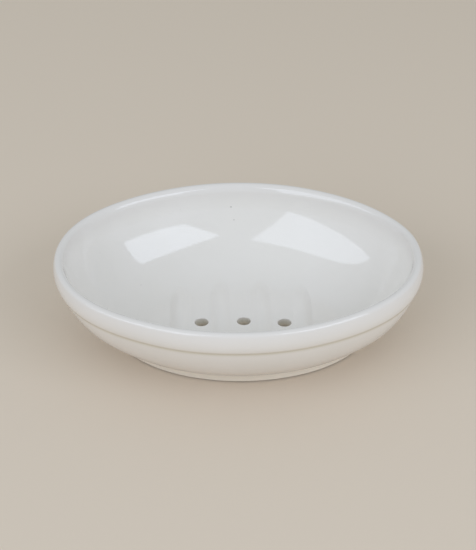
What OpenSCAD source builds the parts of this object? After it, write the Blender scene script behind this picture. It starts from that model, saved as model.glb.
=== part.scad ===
/* [Plan] */
// Length over the lip
dish_length = 135; // [122:1:145]
// Width over the lip
dish_width = 102; // [98:1:112]

/* [Lip and band] */
// Height from the table to the top of the lip
dish_height = 35.4; // [32:0.2:38.4]
// Radius of the rolled lip
lip_radius = 1.6; // [1.3:0.05:1.9]
// Radius of the band, from the lip down to the groove
band_radius = 8.7; // [7.8:0.1:9.8]
// Depth of the moulded groove below the top of the lip
groove_drop = 8.8; // [8.2:0.1:9.4]
// Fillet radius in the bottom of the groove
groove_round = 1.2; // [0.8:0.1:2]

/* [Bowl] */
// Radius of the outside between the groove and the foot
body_radius = 45; // [40:1:54]
// Thickness of the wall low down, where it meets the floor
low_wall = 4.3; // [3.9:0.1:4.9]
// Height of the floor's upper face above the table
floor_height = 5.2; // [4.8:0.1:5.8]
// Radius of the blend between the floor and the wall
floor_blend = 24; // [18:1:27]

/* [Foot] */
// How far the foot stands in from the widest outline
foot_inset = 20.2; // [18.6:0.1:21.6]
// Height of the foot, table to the corner under the bowl
foot_height = 3; // [2.6:0.1:3.4]
// Width of the foot ring
foot_width = 3.6; // [3:0.1:4.4]
// Radius of the foot's lower edges
foot_round = 0.5; // [0.3:0.1:0.6]
// Fillet radius between the foot and the bowl
foot_fillet = 0.7; // [0.5:0.1:1.1]
// Height of the hollow under the floor, inside the foot ring
recess_height = 1.6; // [1.4:0.1:1.9]
// Fillet radius in the corner of the hollow
recess_round = 0.6; // [0.4:0.1:0.6]

/* [Drain holes] */
// Number of drain holes in the row along the floor
hole_count = 3; // [1:1:3]
// Clear diameter of a drain hole, glaze included
hole_diameter = 5; // [4:0.1:6.4]
// Distance between the middles of neighbouring holes
hole_pitch = 15.4; // [14:0.1:16.4]
// Radius of the softened edge at both mouths of a hole
hole_edge = 0.8; // [0.7:0.05:1]

/* [Ribs] */
// Width of a rib where it rises from the floor
rib_width = 6.4; // [5:0.1:7.4]
// Height of a rib above the floor
rib_height = 1.1; // [0.7:0.1:1.6]

/* [Glaze] */
// Thickness of the glaze
glaze = 0.4; // [0.3:0.05:0.5]
// Height up to which the foot is wiped clean of glaze
foot_wipe = 0.8; // [0.7:0.05:0.9]

/* [Hidden] */
$fn = 144;
// Overrun of every cut past the face that it opens
over = 1;
// Angle by which each swept arc runs past its seams before it is cut there
seam_overrun = 4;
clay_color = [0.86, 0.80, 0.70];
glaze_color = [0.95, 0.93, 0.88];

// The oval is drawn from four arcs. The end arcs turn about [end_x, 0] and the side
// arcs about [0, -side_y]. They meet without a corner on the seam, the line through
// both centres, which runs along the long side of a triangle with sides 3, 4 and 5.
half_length = dish_length / 2;
half_width = dish_width / 2;
triangle_unit = (half_length - half_width) / 2;
end_x = 3 * triangle_unit;
side_y = 4 * triangle_unit;
end_radius = half_length - end_x;
side_radius = half_width + side_y;
seam_angle = atan2(side_y, end_x);
seam_end = [end_x, 0] + [end_x, side_y] / norm([end_x, side_y]) * dish_length;
end_plan = [[end_x, 0], [seam_end[0], -seam_end[1]], seam_end];
side_plan = [[end_x, 0], seam_end, [-seam_end[0], seam_end[1]], [-end_x, 0]];

function unit(v) = v / norm(v);
// Point on the circle about c, at radius r, in the direction of p
function toward(c, p, r) = c + unit(p - c) * r;
// The meeting point of two circles that lies to the left of the way from c1 to c2
function circles_meet(c1, r1, c2, r2) =
    let (gap = norm(c2 - c1), along = (gap ^ 2 + r1 ^ 2 - r2 ^ 2) / (2 * gap), way = unit(c2 - c1))
    c1 + way * along + [-way[1], way[0]] * sqrt(r1 ^ 2 - along ^ 2);

// Centres of the arcs of the section. Its x is minus the distance in from the widest
// outline, and its y is the height above the table.
// The lip's circle touches the band's from within. The line through both centres runs
// along the longer side of a triangle with sides 44, 117 and 125.
lip_way = (band_radius - lip_radius) * [117, 44] / 125;
lip_center = [lip_way[0] - band_radius, dish_height - lip_radius];
band_center = lip_center - lip_way;
groove_corner = [sqrt(band_radius ^ 2 - (dish_height - groove_drop - band_center[1]) ^ 2) - band_radius,
    dish_height - groove_drop];
foot_corner = [-foot_inset, foot_height];
body_chord = foot_corner - groove_corner;
body_center = (groove_corner + foot_corner) / 2
    + unit([body_chord[1], -body_chord[0]]) * sqrt(body_radius ^ 2 - (norm(body_chord) / 2) ^ 2);
groove_center = circles_meet(band_center, band_radius + groove_round,
    body_center, body_radius + groove_round);
fillet_x = foot_fillet - foot_inset;
fillet_center = [fillet_x,
    body_center[1] - sqrt((body_radius + foot_fillet) ^ 2 - (fillet_x - body_center[0]) ^ 2)];

// The inside of the wall is an arc that leaves the lip without a corner and comes down
// to low_wall above the outside.
lip_span = body_radius - low_wall + lip_radius;
lip_offset = lip_center - body_center;
wall_shift = (lip_offset * lip_offset - lip_span ^ 2) / (2 * (lip_span + lip_offset[1]));
wall_center = body_center + [0, wall_shift];
wall_radius = body_radius - low_wall + wall_shift;
blend_z = floor_height + floor_blend;
blend_center = [wall_center[0]
    + sqrt((wall_radius - floor_blend) ^ 2 - (wall_center[1] - blend_z) ^ 2), blend_z];

hole_radius = hole_diameter / 2;
rib_radius = ((rib_width / 2) ^ 2 + rib_height ^ 2) / (2 * rib_height);
rib_foot = (floor_height + recess_height) / 2;
// The ribs run into the wall and end inside it, above the middle of the foot ring
rib_end_radius = side_radius - foot_inset - foot_width / 2;

// A corner of an outline: the point, the centre of the arc that leads to the next
// corner, and the way that arc bends. 1 bulges out, -1 is hollow, 0 is a straight line.
function corner(p, c = [0, 0], bend = 0) = [p, c, bend];

// Corners of the section, from the axis that it turns about at radius out to the lip,
// its surface set back by skin from the glazed surface
function section_corners(skin, radius) =
    let (foot_out = -foot_inset - skin, foot_in = skin - foot_inset - foot_width,
         hollow = [-foot_inset - foot_width - recess_round, recess_height - recess_round]) [
    corner(toward(band_center, lip_center, band_radius - skin), lip_center, 1),
    corner(toward(lip_center, wall_center, lip_radius - skin), wall_center, -1),
    corner(toward(wall_center, blend_center, wall_radius + skin), blend_center, -1),
    corner([blend_center[0], floor_height - skin]),
    corner([-radius, floor_height - skin]),
    corner([-radius, recess_height + skin]),
    corner([hollow[0], recess_height + skin], hollow, -1),
    corner([foot_in, hollow[1]]),
    corner([foot_in, foot_round], [foot_in + foot_round, foot_round], 1),
    corner([foot_in + foot_round, 0]),
    corner([foot_out - foot_round, 0], [foot_out - foot_round, foot_round], 1),
    corner([foot_out, foot_round]),
    corner([foot_out, fillet_center[1]], fillet_center, -1),
    corner(toward(fillet_center, body_center, foot_fillet + skin), body_center, 1),
    corner(toward(groove_center, body_center, groove_round + skin), groove_center, -1),
    corner(toward(groove_center, band_center, groove_round + skin), band_center, 1)];

// Corners of half a drain hole, as drilled in the surface set back by skin
function hole_corners(skin) =
    let (wide = hole_radius + hole_edge, bore = hole_radius + skin,
         top = floor_height - hole_edge, low = recess_height + hole_edge) [
    corner([0, -over]),
    corner([wide, -over]),
    corner([wide, recess_height + skin], [wide, low], -1),
    corner([bore, low]),
    corner([bore, top], [wide, top], -1),
    corner([wide, floor_height - skin]),
    corner([wide, floor_height + over]),
    corner([0, floor_height + over])];

// The part of a circle that lies past the straight line between two corners
module arc_cap(from, to, center) {
    radius = norm(from - center);
    chord = to - from;
    reach = unit((from + to) / 2 - center) * radius;
    intersection() {
        translate(center) circle(r = radius);
        polygon([from, to, to + reach, from + reach]);
    }
}

// A flat shape with true arcs between its corners
module arc_outline(corners) {
    count = len(corners);
    difference() {
        union() {
            polygon([for (one = corners) one[0]]);
            for (i = [0:count - 1]) if (corners[i][2] == 1)
                arc_cap(corners[i][0], corners[(i + 1) % count][0], corners[i][1]);
        }
        for (i = [0:count - 1]) if (corners[i][2] == -1)
            arc_cap(corners[i][0], corners[(i + 1) % count][0], corners[i][1]);
    }
}

// The section turned about one arc of the plan and cut off at the seams
module sector(skin, center, radius, from, to, plan) {
    intersection() {
        translate(center)
            rotate_extrude(start = from - seam_overrun, angle = to - from + 2 * seam_overrun)
                translate([radius, 0]) arc_outline(section_corners(skin, radius));
        translate([0, 0, -over]) linear_extrude(dish_height + 2 * over) polygon(plan);
    }
}

// The section carried round the whole oval, which closes the floor too
module oval_sweep(skin) {
    for (turn = [0, 180]) rotate([0, 0, turn]) {
        sector(skin, [end_x, 0], end_radius, -seam_angle, seam_angle, end_plan);
        sector(skin, [0, -side_y], side_radius, seam_angle, 180 - seam_angle, side_plan);
    }
}

module rib(skin) {
    intersection() {
        children();
        translate([0, 0, floor_height + rib_height - rib_radius])
            rotate([90, 0, 0]) cylinder(r = rib_radius - skin, h = dish_width, center = true);
    }
}

// The dish as one solid, its surface set back by skin from the glazed surface
module dish(skin) {
    difference() {
        union() {
            oval_sweep(skin);
            for (i = [0:hole_count]) {
                x = (i - hole_count / 2) * hole_pitch;
                reach = sqrt(rib_end_radius ^ 2 - x ^ 2) - side_y;
                translate([x, 0, 0]) rib(skin)
                    translate([-rib_width / 2, -reach, rib_foot])
                        cube([rib_width, 2 * reach, floor_height + rib_height - rib_foot]);
            }
        }
        for (i = [0:hole_count - 1])
            translate([(i - (hole_count - 1) / 2) * hole_pitch, 0, 0])
                rotate_extrude() arc_outline(hole_corners(skin));
    }
}

// The fired clay, whose bare foot ring stands on the table
module dish_body() {
    color(clay_color) dish(glaze);
}

// The glaze that lies on all of the clay, and in the holes, down to the wiped foot
module glaze_coat() {
    color(glaze_color) difference() {
        dish(0);
        dish(glaze);
        translate([-half_length, -half_width, -over])
            cube([dish_length, dish_width, over + foot_wipe]);
    }
}

dish_body();
glaze_coat();
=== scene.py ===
import math

import bpy
import numpy as np
from mathutils import Matrix, Vector
from mathutils.geometry import delaunay_2d_cdt

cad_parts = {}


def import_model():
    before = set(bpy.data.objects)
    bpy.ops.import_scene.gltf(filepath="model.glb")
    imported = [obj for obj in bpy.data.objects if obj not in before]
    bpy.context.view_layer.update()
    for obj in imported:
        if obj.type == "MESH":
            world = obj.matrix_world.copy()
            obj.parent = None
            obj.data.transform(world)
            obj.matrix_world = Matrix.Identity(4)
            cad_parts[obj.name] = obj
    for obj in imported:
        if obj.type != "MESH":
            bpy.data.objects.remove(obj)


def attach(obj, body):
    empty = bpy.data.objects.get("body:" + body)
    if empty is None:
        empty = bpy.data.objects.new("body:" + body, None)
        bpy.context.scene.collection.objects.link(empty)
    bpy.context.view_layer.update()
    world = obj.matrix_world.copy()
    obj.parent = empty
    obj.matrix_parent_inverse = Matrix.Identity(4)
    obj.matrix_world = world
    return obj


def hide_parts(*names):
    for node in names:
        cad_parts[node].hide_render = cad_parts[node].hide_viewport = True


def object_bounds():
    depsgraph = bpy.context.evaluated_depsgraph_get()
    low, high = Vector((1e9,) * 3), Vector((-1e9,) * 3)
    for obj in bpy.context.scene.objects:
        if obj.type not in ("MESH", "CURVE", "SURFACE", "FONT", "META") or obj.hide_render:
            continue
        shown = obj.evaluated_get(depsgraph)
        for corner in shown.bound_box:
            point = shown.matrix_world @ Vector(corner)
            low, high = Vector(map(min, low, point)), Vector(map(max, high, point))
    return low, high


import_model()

CAD_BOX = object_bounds()
MM = 0.001

# ---- sizes in millimetres, the same as the solids'

HALF_LENGTH, HALF_WIDTH, HEIGHT = 67.5, 51.0, 35.4
LIP_RADIUS, BAND_RADIUS = 1.6, 8.7
GROOVE_DROP, GROOVE_ROUND = 8.8, 1.2
BODY_RADIUS, LOW_WALL = 45.0, 4.3
FLOOR_HEIGHT, FLOOR_BLEND = 5.2, 24.0
FOOT_INSET, FOOT_HEIGHT, FOOT_WIDTH, FOOT_ROUND, FOOT_FILLET = 20.2, 3.0, 3.6, 0.5, 0.7
RECESS_HEIGHT, RECESS_ROUND = 1.6, 0.6
HOLE_RADIUS, HOLE_PITCH = 2.5, 15.4
RIB_WIDTH, RIB_HEIGHT = 6.4, 1.1
RIBS = [(i - 1.5) * HOLE_PITCH for i in range(4)]
GLAZE, FOOT_WIPE = 0.4, 0.8

# ---- what this one dish has and the solids don't, with lengths in millimetres

# Height down to which the glaze reaches on the foot, and the radius of its lower edge
GLAZE_END, GLAZE_BEAD = 0.45, 0.25
# How far the lip's inner side stands out, and the depths below the top in which that grows, fades and
# turns the normals
FLANK, FLANK_GROWS, FLANK_FADES, FLANK_TURNS = 0.55, (0.1, 2.6), (2.7, 9.6), (0.05, 13.0)
# The flank grows from the ends of the oval to its sides, by the sine of the normal's direction
FLANK_SIDES = 0.2, 0.75
# How softly the ribs run into the floor and the wall, and the distances from the middle in which they sink
RIB_SOFT, RIB_SINK = 1.1, (4.0, 25.0)
# Share of its radius past which a rib's side isn't followed down
RIB_SIDE = 0.93
# Middles of the holes, which are punched by hand and a little out of line
HOLES = [(0.4 - HOLE_PITCH, -0.2), (0.9, 0.1), (0.6 + HOLE_PITCH, -1.4)]
# Edge radii of a hole, and the least that the upper one shrinks to
HOLE_TOP_EDGE, HOLE_LOW_EDGE, LEAST_EDGE = 0.45, 0.15, 0.05
# How much smaller the hole's radius is at the bottom, and the upward share of the normal halfway down
HOLE_TAPER, HOLE_LEAN = 0.6, 0.1
# Half the height of the pool of glaze and painted shade in the groove, and the depths in which these gather
# in the holes
GROOVE_POOL_AND_SHADE, HOLE_POOL_AND_SHADE = 1.3, (0.2, 1.0)
# How far the dish leans to the left from the table to the lip
LEAN = 1.6
# The back right is drawn in: how far, its middle and half its spread in degrees, and the way
DRAWN_IN, DRAWN_MIDDLE, DRAWN_SPREAD, DRAWN_WAY = 1.0, 38, 32, (0.7, 0.7)
# The ends of the foot are short by a share, which fades with the height and grows away from the middle
FOOT_SHORT, SHORT_FADES, SHORT_GROWS = 0.03, (3, 15), (20, 40)
# How far the waves in the clay push, and the height over which they set in above the wiped foot
WAVE_PUSH, WAVE_ONSET = 0.035, 5
# The least wave number, and how much a wave's last value adds to it and to its phase
WAVE_LEAST, WAVE_FINER, WAVE_PHASE = 0.13, 0.08, 3
# A row for each wave: the direction in which it runs, the one in which it pushes, and the last value
WAVES = np.random.default_rng(11).normal(size=(9, 7))

# ---- how the mesh is laid out, with lengths in millimetres

# How far the dish stays inside the solids' box
BOX_MARGIN = 0.01
# Distance inside the widest outline of the curve along which the points round the oval are evenly spaced
EVEN_INSET = 17
# Distance inside the widest outline at which the sweep ends under the floor
UNDER_INSET = 29.0
# Radius round a hole in which the floor's mesh leaves room for it
HOLE_MARGIN = HOLE_RADIUS + 1.25
# Height below which the bowl can have ribs on it
RIB_ZONE = FLOOR_HEIGHT + RIB_HEIGHT + RIB_SOFT + 0.5
# How many times coarser the mesh is under the floor than on it
UNDER_COARSER = 2.2
# Shares of a mesh step that points keep off the rim and off the room for the holes
RIM_CLEARANCE, HOLE_CLEARANCE = 0.55, 0.5
# How close together two points of the floor's mesh are one, and the share of a gap that is surely inside it
SAME_POINT, SURELY_INSIDE = 1e-6, 0.999
# Points over each edge of a hole
EDGE_POINTS = 9
# Mesh steps along each run of the section
STEPS = {"blend": 27, "wall": 18, "wall top": 16, "lip": 24, "band": 22, "groove": 10, "body": 34,
         "fillet": 7, "bare side": 2, "glazed side": 3, "foot edge": 6, "foot face": 2, "hollow": 5,
         "underside": 5}
# Angle of the wall's arc, next to the lip, that has finer steps of its own
WALL_TOP = 0.2
# Distance to the points from which a moved point's normal is taken
PROBE = 0.05


def smooth(value, low, high):
    """0 up to low, 1 from high on, and a soft step between them"""
    s = np.clip((value - low) / (high - low), 0, 1)
    return s * s * (3 - 2 * s)


def unit(v):
    return v / np.linalg.norm(v)


def units(vectors):
    """Each vector along an array's last axis at length 1"""
    return vectors / np.linalg.norm(vectors, axis=-1)[..., None]


def angle_to(a, b):
    return math.atan2(b[1] - a[1], b[0] - a[0])


def circles_meet(c1, r1, c2, r2):
    """The meeting point of two circles that lies to the left of the way from c1 to c2"""
    gap = np.linalg.norm(c2 - c1)
    along = (gap ** 2 + r1 ** 2 - r2 ** 2) / (2 * gap)
    way = unit(c2 - c1)
    return c1 + way * along + np.array([-way[1], way[0]]) * math.sqrt(r1 ** 2 - along ** 2)


# ---- plan: a smooth oval, given by its radius of curvature at each direction of its normal

# Direction in which the end arc gives way to the side arc, and half the angle that this takes
SEAM, SEAM_SOFT = math.atan2(4, 3), math.radians(16)
# Directions over a quarter of the oval, for integrals
FINE = np.linspace(0, math.pi / 2, 8001)


def running(values):
    """The integral of values up to each direction in FINE"""
    step = FINE[1] - FINE[0]
    return np.concatenate([[0], np.cumsum((values[1:] + values[:-1]) / 2 * step)])


def quarter_outline():
    """Radius of curvature, x and y of the widest outline at each direction in FINE"""
    share = smooth(FINE - SEAM + SEAM_SOFT, 0, 2 * SEAM_SOFT)
    sums = [running(f * g)[-1] for f in (1 - share, share) for g in (np.sin(FINE), np.cos(FINE))]
    ends, sides = np.linalg.solve([[sums[0], sums[2]], [sums[1], sums[3]]], [HALF_LENGTH, HALF_WIDTH])
    radius = ends + (sides - ends) * share
    return radius, HALF_LENGTH - running(radius * np.sin(FINE)), running(radius * np.cos(FINE))


def outline(quarter):
    """Directions of the normal and points of the widest outline, 4 * quarter of each"""
    radius, x, y = quarter_outline()
    length = running(radius - EVEN_INSET)
    turn = np.interp(np.linspace(0, length[-1], quarter + 1), length, FINE)
    px, py = np.interp(turn, FINE, x), np.interp(turn, FINE, y)
    t, p, q = turn[:-1], px[:-1], py[:-1]
    b, bp, bq = turn[:0:-1], px[:0:-1], py[:0:-1]
    turns = np.concatenate([t, math.pi - b, math.pi + t, 2 * math.pi - b])
    return turns, np.concatenate([p, -bp, -p, bp]), np.concatenate([q, bq, -q, -bq])


# ---- section: rows of the distance in from the widest outline, the height, the normal's share outward and
# upward, and 1 inside the bowl or 0 outside it

INWARD, RISE, OUT, UP, BOWL = range(5)


def arc(center, radius, start, stop, count, out=1):
    a = np.linspace(start, stop, count + 1)
    return np.stack([-(center[0] + radius * np.cos(a)), center[1] + radius * np.sin(a),
                     out * np.cos(a), out * np.sin(a)], 1)


def straight(p, q, count, normal):
    t = np.linspace(0, 1, count + 1)[:, None]
    points = np.array(p) * (1 - t) + np.array(q) * t
    return np.column_stack([-points[:, 0], points[:, 1], np.tile(normal, (count + 1, 1))])


def section(skin, fine, bare):
    """The surface set back by skin, from the floor over the lip to the underside of the floor, with a share
    fine of the mesh steps. It goes round the foot where that is bare, and cuts across it where glaze ends."""
    pi = math.pi
    steps = lambda run: max(2, round(STEPS[run] * fine))
    # The lip's circle touches the band's from within, on a line along the longer side of a triangle with
    # sides 44, 117 and 125
    lip_way = (BAND_RADIUS - LIP_RADIUS) * np.array([117, 44]) / 125
    lip = np.array([lip_way[0] - BAND_RADIUS, HEIGHT - LIP_RADIUS])
    band = lip - lip_way
    groove_z = HEIGHT - GROOVE_DROP
    groove_reach = math.sqrt(BAND_RADIUS ** 2 - (groove_z - band[1]) ** 2)
    groove_corner = np.array([groove_reach - BAND_RADIUS, groove_z])
    foot_corner = np.array([-FOOT_INSET, FOOT_HEIGHT])
    chord = foot_corner - groove_corner
    across = unit(np.array([chord[1], -chord[0]]))
    body = (groove_corner + foot_corner) / 2 + across * math.sqrt(BODY_RADIUS ** 2 - chord @ chord / 4)
    groove = circles_meet(band, BAND_RADIUS + GROOVE_ROUND, body, BODY_RADIUS + GROOVE_ROUND)
    fillet_x = FOOT_FILLET - FOOT_INSET
    fillet_drop = math.sqrt((BODY_RADIUS + FOOT_FILLET) ** 2 - (fillet_x - body[0]) ** 2)
    fillet = np.array([fillet_x, body[1] - fillet_drop])
    # The wall's arc leaves the lip without a corner and comes down to LOW_WALL above the outside
    span = BODY_RADIUS - LOW_WALL + LIP_RADIUS
    offset = lip - body
    shift = (offset @ offset - span ** 2) / (2 * (span + offset[1]))
    wall = body + np.array([0, shift])
    wall_radius = BODY_RADIUS - LOW_WALL + shift
    blend_z = FLOOR_HEIGHT + FLOOR_BLEND
    blend_reach = math.sqrt((wall_radius - FLOOR_BLEND) ** 2 - (wall[1] - blend_z) ** 2)
    blend = np.array([wall[0] + blend_reach, blend_z])
    foot_out, foot_in = -FOOT_INSET - skin, skin - FOOT_INSET - FOOT_WIDTH
    hollow = np.array([-FOOT_INSET - FOOT_WIDTH - RECESS_ROUND, RECESS_HEIGHT - RECESS_ROUND])
    under = RECESS_HEIGHT + skin

    wall_low, wall_high = angle_to(wall, blend), angle_to(wall, lip)
    inside = [arc(blend, FLOOR_BLEND + skin, -pi / 2, wall_low, steps("blend"), -1),
              arc(wall, wall_radius + skin, wall_low, wall_high - WALL_TOP, steps("wall"), -1),
              arc(wall, wall_radius + skin, wall_high - WALL_TOP, wall_high, steps("wall top"), -1)]
    outside = [arc(lip, LIP_RADIUS - skin, angle_to(lip, wall), angle_to(band, lip), steps("lip")),
               arc(band, BAND_RADIUS - skin, angle_to(band, lip), angle_to(band, groove), steps("band")),
               arc(groove, GROOVE_ROUND + skin, angle_to(groove, band), angle_to(groove, body),
                   steps("groove"), -1),
               arc(body, BODY_RADIUS - skin, angle_to(body, groove), angle_to(body, fillet), steps("body")),
               arc(fillet, FOOT_FILLET + skin, angle_to(fillet, body), pi, steps("fillet"), -1)]
    if bare:
        low = FOOT_ROUND
        outside += [straight([foot_out, fillet[1]], [foot_out, low], steps("bare side"), (1, 0)),
                    arc([foot_out - low, low], low, 0, -pi / 2, steps("foot edge")),
                    straight([foot_out - low, 0], [foot_in + low, 0], steps("foot face"), (0, -1)),
                    arc([foot_in + low, low], low, -pi / 2, -pi, steps("foot edge")),
                    straight([foot_in, low], [foot_in, hollow[1]], 1, (-1, 0))]
    else:
        low, bead = GLAZE_END, GLAZE_BEAD
        outside += [straight([foot_out, fillet[1]], [foot_out, low + bead], steps("glazed side"), (1, 0)),
                    arc([foot_out - bead, low + bead], bead, 0, -pi / 2, steps("foot edge")),
                    straight([foot_out - bead, low], [foot_in, hollow[1]], 1, (0, -1))]
    outside += [arc(hollow, RECESS_ROUND + skin, 0, pi / 2, steps("hollow"), -1),
                straight([hollow[0], under], [-UNDER_INSET, under], steps("underside"), (0, -1))]
    rows = []
    for bowl, runs in ((1.0, inside), (0.0, outside)):
        for run in runs:
            # Each run starts where the one before ended
            run = run[1:] if rows else run
            rows.append(np.column_stack([run, np.full(len(run), bowl)]))
    return np.concatenate(rows)


def with_flank(rows):
    """The section with the lip's inner side filled out"""
    rows = rows.copy()
    depth = HEIGHT - rows[:, RISE]
    facing_in = rows[:, OUT] < 0
    fill = FLANK * smooth(depth, *FLANK_GROWS) * (1 - smooth(depth, *FLANK_FADES))
    rows[:, INWARD] += np.where(facing_in, fill, 0)
    way = np.gradient(rows[:, :2], axis=0)
    turned = units(np.column_stack([way[:, 1], way[:, 0]]))
    near = facing_in & (depth > FLANK_TURNS[0]) & (depth < FLANK_TURNS[1])
    same_way = np.sign(np.sum(turned[near] * rows[near, OUT:BOWL], axis=1))
    rows[near, OUT:BOWL] = turned[near] * same_way[:, None]
    return rows


# ---- ribs and unevenness

def soft_max(a, b, soft):
    """The greater of two heights, run together softly, and how much of b is in it"""
    h = np.clip(soft - np.abs(a - b), 0, None)
    return np.maximum(a, b) + h * h / (4 * soft), np.clip(0.5 + (b - a) / (2 * soft), 0, 1)


def with_ribs(x, y, height, slope_x, slope_y, skin):
    """Heights and slopes of the bowl with the ribs on it"""
    radius = ((RIB_WIDTH / 2) ** 2 + RIB_HEIGHT ** 2) / (2 * RIB_HEIGHT)
    start, stop = RIB_SINK
    sunk = np.clip((np.abs(y) - start) / (stop - start), 0, 1)
    sink, sink_y = RIB_HEIGHT * sunk ** 2, 2 * RIB_HEIGHT * sunk / (stop - start) * np.sign(y)
    for middle in RIBS:
        d = np.clip(x - middle, -radius * RIB_SIDE, radius * RIB_SIDE)
        root = np.sqrt(radius ** 2 - d ** 2)
        rib = FLOOR_HEIGHT + RIB_HEIGHT - sink - radius + root - skin
        height, part = soft_max(height, rib, RIB_SOFT)
        slope_x = slope_x * (1 - part) - d / root * part
        slope_y = slope_y * (1 - part) - sink_y * part
    return height, slope_x, slope_y


def slope_normals(slope_x, slope_y):
    """The normals of a surface with these slopes"""
    return units(np.stack([-slope_x, -slope_y, np.ones_like(slope_x)], -1))


def settle(p):
    """Moves points as drying and firing moved the clay"""
    q = p.copy()
    up = np.clip(p[:, 2] / HEIGHT, 0, 1)
    short = FOOT_SHORT * (1 - smooth(p[:, 2], *SHORT_FADES)) * smooth(np.abs(p[:, 0]), *SHORT_GROWS)
    q[:, 0] = q[:, 0] * (1 - short) + LEAN * (1 - up)
    out = np.hypot(p[:, 0] / HALF_LENGTH, p[:, 1] / HALF_WIDTH)
    turn = np.degrees(np.arctan2(p[:, 1] / HALF_WIDTH, p[:, 0] / HALF_LENGTH))
    bump = np.cos(np.clip((turn - DRAWN_MIDDLE) / DRAWN_SPREAD, -1, 1) * math.pi / 2) ** 2
    q[:, :2] -= (bump * out ** 2 * up * DRAWN_IN)[:, None] * np.array(DRAWN_WAY)
    off_foot = smooth(p[:, 2], FOOT_WIPE, FOOT_WIPE + WAVE_ONSET)
    for w in WAVES:
        phase = p @ (unit(w[:3]) * (WAVE_LEAST + WAVE_FINER * abs(w[6]))) + WAVE_PHASE * w[6]
        q += (unit(w[3:6]) * WAVE_PUSH) * (np.sin(phase) * off_foot)[:, None]
    return q


def settled(points, normals):
    """Points after settle, and their normals"""
    # Any direction that is well off the normal gives two across it
    away = np.where(np.abs(normals[:, 2:]) < 0.8, [[0, 0, 1.0]], [[1.0, 0, 0]])
    t1 = units(np.cross(normals, away))
    t2 = np.cross(normals, t1)
    turned = np.cross(settle(points + PROBE * t1) - settle(points - PROBE * t1),
                      settle(points + PROBE * t2) - settle(points - PROBE * t2))
    return settle(points), units(turned)


# ---- the mesh

def inside_loop(points, loop):
    """Which points lie inside a closed loop of points"""
    inside = np.zeros(len(points), bool)
    for (x1, y1), (x2, y2) in zip(loop, np.roll(loop, -1, axis=0)):
        hit = (y1 > points[:, 1]) != (y2 > points[:, 1])
        if y1 != y2:
            inside ^= hit & (points[:, 0] < (x2 - x1) * (points[:, 1] - y1) / (y2 - y1) + x1)
    return inside


def cap(rim, step, count):
    """Triangles over the inside of a rim, with a round gap for each drain hole: all points, the rim's own
    first, the triangles, and the indices of the loop of count points round each hole"""
    loops = []
    points = [(x, y) for x, y in rim]
    edges = [(i, (i + 1) % len(rim)) for i in range(len(rim))]
    for x, y in HOLES:
        first = len(points)
        points += [(x + HOLE_MARGIN * math.cos(a), y + HOLE_MARGIN * math.sin(a))
                   for a in np.arange(count) * 2 * math.pi / count]
        loops.append(list(range(first, first + count)))
        edges += [(first + i, first + (i + 1) % count) for i in range(count)]
    nx, ny = int(np.ptp(rim[:, 0]) / step / 2) + 1, int(np.ptp(rim[:, 1]) / step / 2) + 1
    grid = np.array([(i * step, j * step) for i in range(-nx, nx + 1) for j in range(-ny, ny + 1)])
    keep = inside_loop(grid, rim)
    keep &= np.min(np.linalg.norm(grid[:, None] - rim[None], axis=2), axis=1) > step * RIM_CLEARANCE
    for x, y in HOLES:
        keep &= np.hypot(grid[:, 0] - x, grid[:, 1] - y) > HOLE_MARGIN + step * HOLE_CLEARANCE
    points += [tuple(g) for g in grid[keep]]
    _, _, faces, originals, _, _ = delaunay_2d_cdt([Vector(p) for p in points], edges, [], 0, SAME_POINT)
    back = [o[0] for o in originals]
    triangles = [[back[i] for i in f] for f in faces]
    centers = np.array([np.mean([points[i] for i in t], axis=0) for t in triangles])
    good = inside_loop(centers, rim)
    # A triangle that fills a gap has its middle inside the circle that the loop's straight edges touch
    gap = HOLE_MARGIN * SURELY_INSIDE * math.cos(math.pi / count)
    for x, y in HOLES:
        good &= np.hypot(centers[:, 0] - x, centers[:, 1] - y) > gap
    return np.array(points), [t for t, g in zip(triangles, good) if g], loops


def hole_profile(skin):
    """Rows of radius, height and the normal's share inward and upward, down a hole from its upper mouth"""
    bore = HOLE_RADIUS + skin
    narrow = bore - HOLE_TAPER
    high, low = max(HOLE_TOP_EDGE - skin, LEAST_EDGE), HOLE_LOW_EDGE
    edge = np.linspace(0, math.pi / 2, EDGE_POINTS)
    rows = [(bore + high * (1 - math.sin(a)), FLOOR_HEIGHT - skin - high * (1 - math.cos(a)),
             math.sin(a), math.cos(a)) for a in edge]
    rows += [((bore + narrow) / 2, (FLOOR_HEIGHT + RECESS_HEIGHT) / 2, 1.0, HOLE_LEAN)]
    rows += [(narrow + low * (1 - math.sin(a)), RECESS_HEIGHT + skin + low - low * math.cos(a),
              math.sin(a), -math.cos(a)) for a in edge[::-1]]
    return rows


class Shell:
    """Points, normals and faces as they come together"""

    def __init__(self):
        self.points, self.normals, self.faces, self.total = [], [], [], 0

    def add(self, points, normals):
        """Adds points with their normals, and returns their indices"""
        first = self.total
        self.points.append(points)
        self.normals.append(normals)
        self.total += len(points)
        return range(first, self.total)


def swept(rows, turns, px, py, skin):
    """Points and normals of the section carried round the oval, for each row of it and each direction"""
    full = with_flank(rows)
    c, s = np.cos(turns), np.sin(turns)
    # The lip is full along both sides and slim at the ends
    share = smooth(np.abs(s), *FLANK_SIDES)[None]
    inward, out, up = (rows[:, i:i + 1] * (1 - share) + full[:, i:i + 1] * share for i in (INWARD, OUT, UP))
    x = px[None] - inward * c[None]
    y = py[None] - inward * s[None]
    z = np.repeat(rows[:, RISE:RISE + 1], len(turns), 1)
    normals = units(np.stack([out * c, out * s, up], 2))
    low = (rows[:, BOWL] > 0) & (rows[:, RISE] < RIB_ZONE)
    slope = -rows[low, OUT:OUT + 1] / rows[low, UP:UP + 1]
    z[low], slope_x, slope_y = with_ribs(x[low], y[low], z[low], slope * c, slope * s, skin)
    normals[low] = slope_normals(slope_x, slope_y)
    return np.stack([x, y, z], 2), normals


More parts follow.
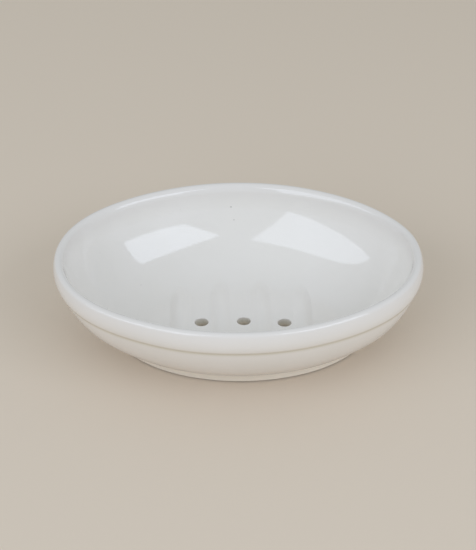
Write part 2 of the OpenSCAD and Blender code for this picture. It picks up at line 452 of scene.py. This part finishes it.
def close_rim(shell, rim, first, top, skin, step, count):
    """Closes a rim, whose points have the indices from first on, with the top of the floor or its underside.
    Returns the loops of indices round the holes."""
    flat_points, triangles, hole_loops = cap(rim, step, count)
    new = flat_points[len(rim):]
    if top:
        level, flat = np.full(len(new), FLOOR_HEIGHT - skin), np.zeros(len(new))
        height, slope_x, slope_y = with_ribs(new[:, 0], new[:, 1], level, flat, flat, skin)
        normals = slope_normals(slope_x, slope_y)
    else:
        height = np.full(len(new), RECESS_HEIGHT + skin)
        normals = np.tile([0, 0, -1.0], (len(new), 1))
    index = [*range(first, first + len(rim)), *shell.add(np.column_stack([new, height]), normals)]
    for t in triangles:
        a, b, d = (flat_points[v] for v in t)
        turn = (b[0] - a[0]) * (d[1] - a[1]) - (b[1] - a[1]) * (d[0] - a[0])
        t = t if (turn > 0) == top else t[::-1]
        shell.faces.append(tuple(index[v] for v in t))
    return [[index[v] for v in loop] for loop in hole_loops]


def line_holes(shell, top_loops, low_loops, skin, count):
    """Joins the loops round the holes in the floor's top and underside by the insides of the holes"""
    turn = np.arange(count) * 2 * math.pi / count
    c, s = np.cos(turn), np.sin(turn)
    for (x, y), top_loop, low_loop in zip(HOLES, top_loops, low_loops):
        rings = [top_loop]
        for radius, height, inward, upward in hole_profile(skin):
            rings.append(shell.add(np.stack([x + radius * c, y + radius * s, np.full(count, height)], 1),
                                   np.stack([-inward * c, -inward * s, np.full(count, upward)], 1)))
        rings.append(low_loop)
        for a, b in zip(rings[:-1], rings[1:]):
            for i in range(count):
                k = (i + 1) % count
                shell.faces.append((a[i], a[k], b[k], b[i]))


def dish(skin, quarter, fine, step, count, bare):
    """Points, normals and faces of the dish, its surface set back by skin, and how much glaze pooled at each
    point in the groove and in the drain holes, which is also how much painted shade it gets there. The mesh
    has 4 * quarter points round the oval, a share fine of the section's steps, a step in millimetres on the
    floor and count points round a hole. The foot is bare or glazed."""
    turns, px, py = outline(quarter)
    rows = section(skin, fine, bare)
    around, across = len(turns), len(rows)
    sweep, normals = swept(rows, turns, px, py, skin)
    shell = Shell()
    shell.add(sweep.reshape(-1, 3), normals.reshape(-1, 3))
    for j in range(across - 1):
        for i in range(around):
            k = (i + 1) % around
            shell.faces.append((j * around + i, (j + 1) * around + i, (j + 1) * around + k, j * around + k))
    top_loops = close_rim(shell, sweep[0, :, :2], first=0, top=True, skin=skin, step=step, count=count)
    low_loops = close_rim(shell, sweep[-1, :, :2], first=(across - 1) * around, top=False, skin=skin,
                          step=step * UNDER_COARSER, count=count)
    first_bore = shell.total
    line_holes(shell, top_loops, low_loops, skin, count)

    points = np.concatenate(shell.points)
    # How much glaze pooled, darkened also by painted shade, along the groove and down the drain holes
    pool_and_shade = np.zeros(shell.total)
    near = smooth(GROOVE_POOL_AND_SHADE - np.abs(rows[:, RISE] - HEIGHT + GROOVE_DROP), 0, 1) * (1 - rows[:, BOWL])
    pool_and_shade[:around * across] = np.repeat(near, around)
    pool_and_shade[first_bore:] = smooth(FLOOR_HEIGHT - points[first_bore:, 2], *HOLE_POOL_AND_SHADE)
    return points, np.concatenate(shell.normals), shell.faces, pool_and_shade


def fit_box(points, skin):
    """Draws the points in where the lean or the waves passed the solids' box"""
    for axis, reach in enumerate(CAD_BOX[1]):
        points[:, axis] *= min(1.0, (reach / MM - BOX_MARGIN - skin) / np.abs(points[:, axis]).max())
    return points


def make(name, points, normals, faces, material, pool_and_shade=None):
    mesh = bpy.data.meshes.new(name)
    mesh.from_pydata((points * MM).tolist(), [], faces)
    mesh.update()
    mesh.shade_smooth()
    mesh.normals_split_custom_set_from_vertices(normals.tolist())
    # The attribute carries the pooled glaze and the painted shade in the groove and holes
    if pool_and_shade is not None:
        mesh.attributes.new("pool_and_shade", "FLOAT", "POINT").data.foreach_set("value", pool_and_shade)
    mesh.materials.append(material)
    piece = bpy.data.objects.new(name, mesh)
    bpy.context.scene.collection.objects.link(piece)
    return piece


# ---- materials

# Tones as red, green and blue out of 255, and the shares in which they show
GLAZE_TONES = (232, 227, 221), (229, 224, 217)
# The thin glaze tone is also painted shade on the band under the lip
THIN_GLAZE_AND_SHADE, THIN_AND_SHADE_SHARE = (218, 212, 206), 0.75
# The pooled glaze tone is also painted shade in the groove and down the holes
POOLED_GLAZE_AND_SHADE, POOLED_AND_SHADE_SHARE = (207, 199, 181), 0.85
# The tone on the foot is clay through thin glaze and also painted warm light from the table
FOOT_CLAY_AND_WARM_LIGHT, FOOT_CLAY_AND_WARM_LIGHT_SHARE = (229, 215, 192), 0.6
FINE_SPECK, FINE_SPECK_SHARE = (120, 108, 92), 0.5
LARGE_SPECK, LARGE_SPECK_SHARE = (110, 100, 88), 0.6
CLAY_TONES = (206, 194, 174), (192, 178, 156)
CLAY_GRAIN, GRAIN_SHARE = (150, 126, 98), 0.5
# Tone of the painted shade where the foot's edge meets the table
CONTACT_SHADE_TONE, CONTACT_SHADE_SHARES = (92, 79, 63), (0.9, 0.3)
FLOOR_TONE = (217, 202, 184)
# Heights in millimetres between which the glaze turns thin toward the lip and is darkened by painted shade,
# the foot's tone and painted warm light end, and the painted shade at the table goes from its first share to
# its second
GLAZE_THINS_AND_SHADE = HEIGHT - 8.0, HEIGHT - 0.5
FOOT_TONE_AND_WARM_LIGHT_ENDS = FOOT_HEIGHT - 0.6, FOOT_HEIGHT + 0.4
CONTACT_SHADE_FADES = 0.2, 0.8
# How much the fine ripple of the glaze adds to the broad one
FINE_RIPPLE_SHARE = 0.12
# Distances in millimetres from its middle between which a larger speck fades, and the middles of these
# specks in the bowl
SPECK_FADES = 0.12, 0.4
SPECKS = [(-1.5, 45.2, 26.9), (-0.4, 43.1, 22.3), (0.1, 41.2, 19.3), (33.7, 25.2, 11.3), (-49.3, 21.8, 19.1)]


def srgb(color):
    """The linear colour of a tone, with alpha"""
    return tuple((v / 255 / 12.92 if v <= 10 else ((v / 255 + 0.055) / 1.055) ** 2.4) for v in color) + (1.0,)


class Nodes:
    """A material's node tree, and short names for building it"""

    def __init__(self, name):
        self.material = bpy.data.materials.new(name)
        self.material.use_nodes = True
        self.tree = self.material.node_tree
        self.shader = self.tree.nodes["Principled BSDF"]
        self.place = self.add("ShaderNodeTexCoord").outputs["Object"]

    def add(self, kind, links=(), **values):
        node = self.tree.nodes.new(kind)
        for key, value in values.items():
            setattr(node, key, value)
        for socket, value in dict(links).items():
            self.put(node.inputs[socket], value)
        return node

    def put(self, socket, value):
        if isinstance(value, bpy.types.NodeSocket):
            self.tree.links.new(value, socket)
        else:
            socket.default_value = value

    def shade(self, **values):
        """Sets the shader's inputs, named with _ for each space"""
        for key, value in values.items():
            self.put(self.shader.inputs[key.replace("_", " ")], value)

    def noise(self, scale, detail=2.0, rough=0.5):
        links = {"Vector": self.place, "Scale": scale, "Detail": detail, "Roughness": rough}
        return self.add("ShaderNodeTexNoise", links).outputs["Fac"]

    def remap(self, value, low, high, to_low=0.0, to_high=1.0, smooth=False):
        links = {"Value": value, "From Min": low, "From Max": high, "To Min": to_low, "To Max": to_high}
        kind = "SMOOTHSTEP" if smooth else "LINEAR"
        return self.add("ShaderNodeMapRange", links, interpolation_type=kind).outputs["Result"]

    def math(self, kind, a, b=0.0):
        return self.add("ShaderNodeMath", {0: a, 1: b}, operation=kind).outputs[0]

    def mix(self, share, a, b):
        node = self.add("ShaderNodeMix", {0: share, 6: a, 7: b}, data_type="RGBA", clamp_factor=True)
        return node.outputs[2]

    def height(self):
        """Height above the table in millimetres"""
        return self.math("MULTIPLY", self.add("ShaderNodeSeparateXYZ", {0: self.place}).outputs["Z"], 1 / MM)

    def upright(self, low, high):
        """0 on a face that looks down, 1 on one that stands upright or looks up"""
        normal = self.add("ShaderNodeNewGeometry").outputs["Normal"]
        return self.remap(self.add("ShaderNodeSeparateXYZ", {0: normal}).outputs["Z"], low, high, smooth=True)

    def specks(self, tone, color, share, scale, keep, near, far, smooth=True):
        """A tone with specks on it, one in each cell whose number is above keep, fading from near to far"""
        cells = self.add("ShaderNodeTexVoronoi", {"Vector": self.place, "Scale": scale})
        number = self.add("ShaderNodeSeparateColor", {0: cells.outputs["Color"]}).outputs[0]
        spot = self.remap(cells.outputs["Distance"], near, far, share, 0.0, smooth=smooth)
        shown = self.math("MULTIPLY", self.math("GREATER_THAN", number, keep), spot)
        return self.mix(shown, tone, srgb(color))

    def bump(self, height, strength, distance):
        links = {"Strength": strength, "Distance": distance, "Height": height}
        return self.add("ShaderNodeBump", links).outputs["Normal"]


def glaze_material():
    n = Nodes("cream_glaze")
    height = n.height()
    mottle = n.remap(n.noise(scale=26.0, detail=3.0, rough=0.55), 0.3, 0.7, smooth=True)
    tone = n.mix(mottle, *map(srgb, GLAZE_TONES))
    # Glaze runs thin over the lip, and painted shade darkens it, growing from 8 mm below the top to the lip
    # It stands thick in the groove and in the holes, where painted shade darkens it too
    thin_and_shaded = n.remap(height, *GLAZE_THINS_AND_SHADE, smooth=True)
    tone = n.mix(n.math("MULTIPLY", thin_and_shaded, THIN_AND_SHADE_SHARE), tone, srgb(THIN_GLAZE_AND_SHADE))
    pool_and_shade = n.add("ShaderNodeAttribute", attribute_name="pool_and_shade").outputs["Fac"]
    tone = n.mix(n.math("MULTIPLY", pool_and_shade, POOLED_AND_SHADE_SHARE), tone, srgb(POOLED_GLAZE_AND_SHADE))
    # It is thin on both sides of the foot too, where the clay shows through, and painted warm light from the
    # table adds to its tone
    foot = n.remap(height, *FOOT_TONE_AND_WARM_LIGHT_ENDS, FOOT_CLAY_AND_WARM_LIGHT_SHARE, 0.0, smooth=True)
    tone = n.mix(n.math("MULTIPLY", foot, n.upright(low=-0.9, high=-0.5)), tone, srgb(FOOT_CLAY_AND_WARM_LIGHT))
    # A few fine dark specks of iron in the clay
    tone = n.specks(tone, FINE_SPECK, FINE_SPECK_SHARE, scale=150.0, keep=0.97, near=0.015, far=0.048)
    tone = n.specks(tone, FINE_SPECK, FINE_SPECK_SHARE, scale=330.0, keep=0.985, near=0.025, far=0.08)
    for speck in SPECKS:
        links = {0: n.place, 1: [v * MM for v in speck]}
        away = n.add("ShaderNodeVectorMath", links, operation="DISTANCE").outputs["Value"]
        spot = n.remap(away, *(v * MM for v in SPECK_FADES), LARGE_SPECK_SHARE, 0.0, smooth=True)
        tone = n.mix(spot, tone, srgb(LARGE_SPECK))
    broad, fine = n.noise(scale=90.0, detail=1.0), n.noise(scale=420.0, detail=1.0)
    ripple = n.math("ADD", broad, n.math("MULTIPLY", fine, FINE_RIPPLE_SHARE))
    rough = n.remap(n.noise(scale=60.0, detail=3.0), 0.3, 0.7, to_low=0.055, to_high=0.085)
    n.shade(Base_Color=tone, Roughness=rough, IOR=1.58,
            Normal=n.bump(ripple, strength=0.25, distance=0.1 * MM))
    return n.material


def clay_material():
    n = Nodes("fired_clay")
    mottle = n.remap(n.noise(scale=140.0, detail=5.0, rough=0.6), 0.35, 0.65)
    tone = n.mix(mottle, *map(srgb, CLAY_TONES))
    tone = n.specks(tone, CLAY_GRAIN, GRAIN_SHARE, scale=1600.0, keep=0.8, near=0.1, far=0.4, smooth=False)
    # Painted shade on the outer edge just over the table, where the foot meets it
    contact_shade = n.remap(n.height(), *CONTACT_SHADE_FADES, *CONTACT_SHADE_SHARES)
    tone = n.mix(n.math("MULTIPLY", n.upright(low=-0.95, high=-0.6), contact_shade), tone, srgb(CONTACT_SHADE_TONE))
    rough = n.remap(n.noise(scale=700.0, detail=3.0), 0.3, 0.7, to_low=0.78, to_high=0.92)
    grain = n.noise(scale=2200.0, detail=4.0, rough=0.6)
    n.shade(Base_Color=tone, Roughness=rough, Normal=n.bump(grain, strength=0.5, distance=0.08 * MM))
    return n.material


# ---- the two pieces

def build():
    points, normals, faces, pool_and_shade = dish(skin=0.0, quarter=92, fine=1.0, step=0.7, count=48, bare=False)
    points, normals = settled(points, normals)
    glaze = make("glaze", fit_box(points, 0.0), normals, faces, glaze_material(), pool_and_shade)
    points, normals, faces, _ = dish(skin=GLAZE, quarter=64, fine=0.5, step=1.4, count=32, bare=True)
    points, normals = settled(points, normals)
    clay = make("clay", fit_box(points, GLAZE), normals, faces, clay_material())
    for piece, node, slot in ((glaze, "glaze_coat", "cream_glaze"), (clay, "dish_body", "fired_clay")):
        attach(piece, "root")
        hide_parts(node)


build()

# ---- floor, light and camera, in metres

# How far the floor reaches each way
FLOOR_REACH = 4.0
LAMP_COLOR, SKY_COLOR, SKY_STRENGTH = (0.78, 0.86, 1.0), (0.915, 0.97, 1.0), 0.61
# How far each lamp stands from the middle of the dish, on the table
LAMP_DISTANCE = 1.1
# Focal length and the picture's longer side, both in pixels
FOCUS_PIXELS, PICTURE_PIXELS = 1700.0, 550.0
CAMERA_TILT, CAMERA_TURN, CAMERA_DISTANCE = math.radians(34.3), math.radians(-1.54), 0.6402
CAMERA_AIM = 0, 0.01494, 0.0156


def floor():
    n = Nodes("floor")
    n.shade(Base_Color=srgb(FLOOR_TONE), Roughness=0.8, Specular_IOR_Level=0.2)
    mesh = bpy.data.meshes.new("floor")
    reach = FLOOR_REACH
    corners = [(-reach, -reach, 0), (reach, -reach, 0), (reach, reach, 0), (-reach, reach, 0)]
    mesh.from_pydata(corners, [], [(0, 1, 2, 3)])
    mesh.materials.append(n.material)
    plane = bpy.data.objects.new("floor", mesh)
    bpy.context.scene.collection.objects.link(plane)


def softbox(name, azimuth, elevation, width, height, turned, radiance, mirrored=True):
    """A flat lamp, turned off the dish by degrees about its own y, x and z. Azimuth 0 is behind the dish and
    90 on its right. The glaze mirrors it or not."""
    lamp = bpy.data.lights.new(name, "AREA")
    lamp.shape = "RECTANGLE"
    lamp.size, lamp.size_y = width, height
    # The radiance of a flat lamp is its energy over four times its area
    lamp.energy = radiance * 4 * width * height
    lamp.color = LAMP_COLOR
    thing = bpy.data.objects.new(name, lamp)
    thing.visible_glossy = mirrored
    a, e = math.radians(azimuth), math.radians(elevation)
    away = Vector((math.sin(a) * math.cos(e), math.cos(a) * math.cos(e), math.sin(e)))
    facing = away.to_track_quat("Z", "Y").to_matrix().to_4x4()
    thing.matrix_world = Matrix.Translation(away * LAMP_DISTANCE) @ facing
    for angle, axis in zip(turned, "YXZ"):
        thing.matrix_world = thing.matrix_world @ Matrix.Rotation(math.radians(angle), 4, axis)
    bpy.context.scene.collection.objects.link(thing)


def world():
    w = bpy.data.worlds.new("studio")
    bpy.context.scene.world = w
    w.use_nodes = True
    back = w.node_tree.nodes["Background"]
    back.inputs["Color"].default_value = (*SKY_COLOR, 1.0)
    back.inputs["Strength"].default_value = SKY_STRENGTH


def camera():
    data = bpy.data.cameras.new("camera")
    data.sensor_width = 36.0
    data.lens = data.sensor_width * FOCUS_PIXELS / PICTURE_PIXELS
    data.clip_start, data.clip_end = 0.01, 20.0
    thing = bpy.data.objects.new("camera", data)
    bpy.context.scene.collection.objects.link(thing)
    view = Vector((0, math.cos(CAMERA_TILT), -math.sin(CAMERA_TILT)))
    facing = (-view).to_track_quat("Z", "Y").to_matrix().to_4x4()
    stand = Matrix.Translation(Vector(CAMERA_AIM) - view * CAMERA_DISTANCE)
    thing.matrix_world = Matrix.Rotation(CAMERA_TURN, 4, "Z") @ stand @ facing
    bpy.context.scene.camera = thing


floor()
softbox("softbox_right", azimuth=139.5, elevation=33.9, width=0.829, height=0.536,
        turned=(24.6, -33.8, 4.5), radiance=2.15)
softbox("softbox_left", azimuth=-122.6, elevation=37.7, width=1.253, height=0.885,
        turned=(49.8, 49.4, 13.3), radiance=1.65)
softbox("fill", azimuth=120.0, elevation=5.0, width=0.9, height=0.24,
        turned=(0, 0, 0), radiance=1.7, mirrored=False)
world()
camera()
bpy.context.scene.view_settings.view_transform = "Standard"
